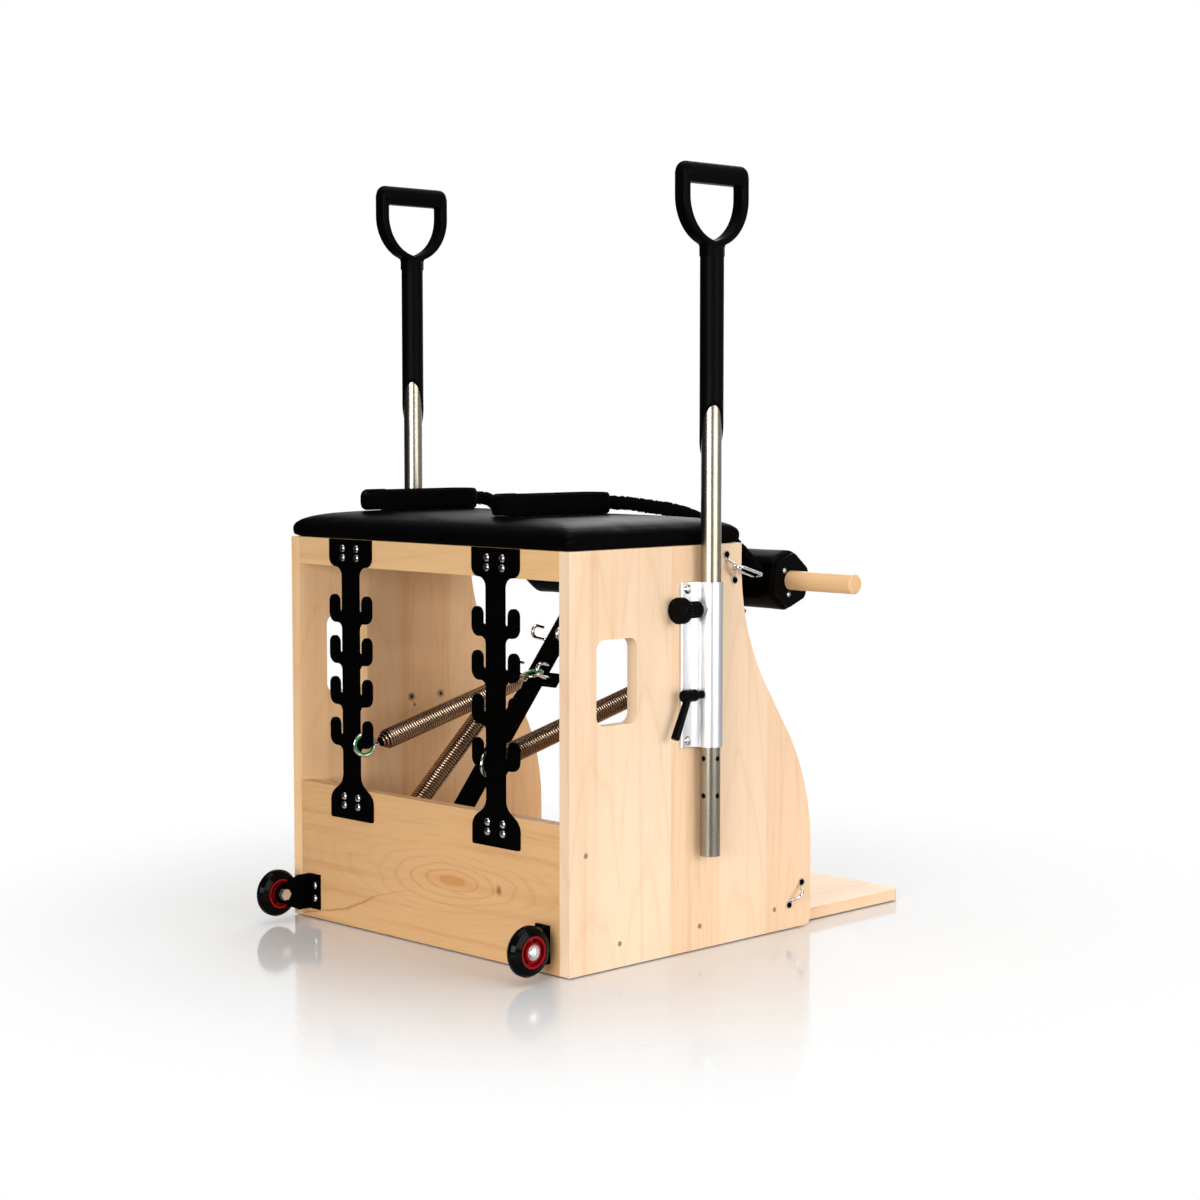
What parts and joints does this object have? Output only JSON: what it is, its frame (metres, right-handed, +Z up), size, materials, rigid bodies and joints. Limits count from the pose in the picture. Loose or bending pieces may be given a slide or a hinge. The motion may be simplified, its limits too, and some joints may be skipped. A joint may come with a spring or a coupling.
{
  "type": "pilates chair",
  "caption": "Wooden pilates chair with padded seat, sprung split pedal joined by a dowel, spring trees, height-adjustable side handles, strap loops and transport wheels",
  "frame": {"origin": "On the floor, in the middle of the base board's length and width.", "axes": "+Z up, -Y towards the pedals (front), +Y towards the spring trees and wheels (rear), +X to the side of the far handle."},
  "size_m": [0.7674, 0.8615, 1.161],
  "materials": {
    "maple": "clear satin lacquer on pale maple",
    "pale_wood": "satin lacquered hardwood",
    "plywood": "bare plywood",
    "vinyl": "black upholstery vinyl",
    "black_steel": "black powder coat",
    "screw_steel": "zinc plated",
    "ring_steel": "plated steel with a green sleeve",
    "pole_steel": "polished steel tube",
    "spring_steel": "dark oiled spring steel",
    "chrome": "chrome plated",
    "brass": "dull brass",
    "aluminium": "clear anodised extrusion",
    "black_plastic": "satin black moulding",
    "red_plastic": "red moulding",
    "grip_rubber": "soft black grip",
    "tyre": "black polyurethane",
    "webbing": "ruched black elastic sleeve",
    "padded_fabric": "padded black fabric"
  },
  "bodies": {
    "frame": {"side_panel_left": "maple", "side_panel_right": "maple", "rear_top_rail": "maple", "front_top_rail": "maple", "rear_kick_panel": "maple", "base_board": "maple", "inner_cleats": "maple", "wood_screws": "brass", "seat_board": "plywood", "seat_cushion": "vinyl", "spring_tree_left": "black_steel", "spring_tree_right": "black_steel", "button_screws": "screw_steel", "tree_spring_rings": "ring_steel", "pivot_axle": "screw_steel", "bearing_blocks": "black_plastic", "wheel_bracket_left": "black_steel", "wheel_bracket_right": "black_steel", "wheel_axles": "screw_steel", "handle_bracket_left": "aluminium", "handle_bracket_right": "aluminium", "plunger_bushings": "screw_steel", "strap_eyes": "chrome", "strap_eye_screws": "black_steel", "strap_cord_left": "webbing", "strap_cord_right": "webbing", "strap_loop_left": "padded_fabric", "strap_loop_right": "padded_fabric", "strap_hooks": "chrome"},
    "pedal_left": {"pedal_arm_left": "black_steel", "arm_hooks_left": "chrome", "pedal_pad_left": "vinyl", "pad_end_plates_left": "black_plastic", "pad_screws_left": "screw_steel", "parked_spring_left": "spring_steel"},
    "pedal_right": {"pedal_arm_right": "black_steel", "arm_hooks_right": "chrome", "pedal_pad_right": "vinyl", "pad_end_plates_right": "black_plastic", "pad_screws_right": "screw_steel", "parked_spring_right": "spring_steel"},
    "dowel": {"pedal_dowel": "pale_wood"},
    "wheel_left": {"wheel_tyre_left": "tyre", "wheel_hub_left": "red_plastic", "wheel_bearings_left": "screw_steel"},
    "wheel_right": {"wheel_tyre_right": "tyre", "wheel_hub_right": "red_plastic", "wheel_bearings_right": "screw_steel"},
    "handle_left": {"handle_pole_left": "pole_steel", "hand_grip_left": "grip_rubber"},
    "handle_right": {"handle_pole_right": "pole_steel", "hand_grip_right": "grip_rubber"},
    "plunger_body_left": {"plunger_left": "black_plastic"},
    "plunger_body_right": {"plunger_right": "black_plastic"},
    "lever_left": {"clamp_lever_left": "black_plastic"},
    "lever_right": {"clamp_lever_right": "black_plastic"},
    "spring_body_left": {"spring_left": "spring_steel"},
    "spring_body_right": {"spring_right": "spring_steel"},
    "spring_end_left": {"spring_hook_ring_left": "ring_steel"},
    "spring_end_right": {"spring_hook_ring_right": "ring_steel"}
  },
  "joints": [
    {"name": "pedal_right_press", "type": "hinge", "parent": "frame", "child": "pedal_right", "pos_m": [0, 0.2564, 0.042], "axis": [1, 0, 0], "range_deg": [0, 49], "stiffness_Nm_per_rad": 60, "springref_deg": -51.57},
    {"name": "pedal_left_press", "type": "hinge", "parent": "frame", "child": "pedal_left", "pos_m": [0, 0.2564, 0.042], "axis": [1, 0, 0], "range_deg": [0, 49]},
    {"name": "dowel_pull", "type": "slide", "parent": "pedal_right", "child": "dowel", "axis": [-1, 0, 0], "range_m": [0, 0.25]},
    {"name": "spring_swing_left", "type": "hinge", "parent": "frame", "child": "spring_body_left", "pos_m": [0.13422, 0.367, 0.286], "axis": [1, 0, 0], "range_deg": [0, 35.87], "deforming": ["spring_left"]},
    {"name": "spring_stretch_left", "type": "slide", "parent": "spring_body_left", "child": "spring_end_left", "axis": [0, -0.9694, 0.2455], "range_m": [0, 0.19732], "deforming": ["spring_hook_ring_left"]},
    {"name": "wheel_spin_left", "type": "hinge", "parent": "frame", "child": "wheel_left", "pos_m": [0.289, 0.44, 0.0435], "axis": [1, 0, 0], "continuous": true},
    {"name": "handle_rise_left", "type": "slide", "parent": "frame", "child": "handle_left", "axis": [0, 0, 1], "range_m": [0, 0.275]},
    {"name": "plunger_pull_left", "type": "slide", "parent": "frame", "child": "plunger_body_left", "axis": [0, 1, 0], "range_m": [0, 0.008], "stiffness_N_per_m": 800, "springref_m": -0.004},
    {"name": "lever_turn_left", "type": "hinge", "parent": "frame", "child": "lever_left", "pos_m": [0.335, 0.149, 0.383], "axis": [0, -1, 0], "range_deg": [0, 120]},
    {"name": "spring_swing_right", "type": "hinge", "parent": "frame", "child": "spring_body_right", "pos_m": [-0.13422, 0.367, 0.286], "axis": [1, 0, 0], "range_deg": [0, 35.87], "deforming": ["spring_right"]},
    {"name": "spring_stretch_right", "type": "slide", "parent": "spring_body_right", "child": "spring_end_right", "axis": [0, -0.9694, 0.2455], "range_m": [0, 0.19732], "deforming": ["spring_hook_ring_right"]},
    {"name": "wheel_spin_right", "type": "hinge", "parent": "frame", "child": "wheel_right", "pos_m": [-0.289, 0.44, 0.0435], "axis": [1, 0, 0], "continuous": true},
    {"name": "handle_rise_right", "type": "slide", "parent": "frame", "child": "handle_right", "axis": [0, 0, 1], "range_m": [0, 0.275]},
    {"name": "plunger_pull_right", "type": "slide", "parent": "frame", "child": "plunger_body_right", "axis": [0, 1, 0], "range_m": [0, 0.008], "stiffness_N_per_m": 800, "springref_m": -0.004},
    {"name": "lever_turn_right", "type": "hinge", "parent": "frame", "child": "lever_right", "pos_m": [-0.335, 0.149, 0.383], "axis": [0, 1, 0], "range_deg": [0, 120]}
  ],
  "couplings": [
    {"joint": "pedal_left_press", "follows": "pedal_right_press", "ratio": 1},
    {"joint": "spring_swing_left", "follows": "pedal_right_press", "ratio": 0.73165},
    {"joint": "spring_stretch_left", "follows": "pedal_right_press", "m_per_rad": 0.23071},
    {"joint": "spring_swing_right", "follows": "pedal_right_press", "ratio": 0.73165},
    {"joint": "spring_stretch_right", "follows": "pedal_right_press", "m_per_rad": 0.23071}
  ]
}
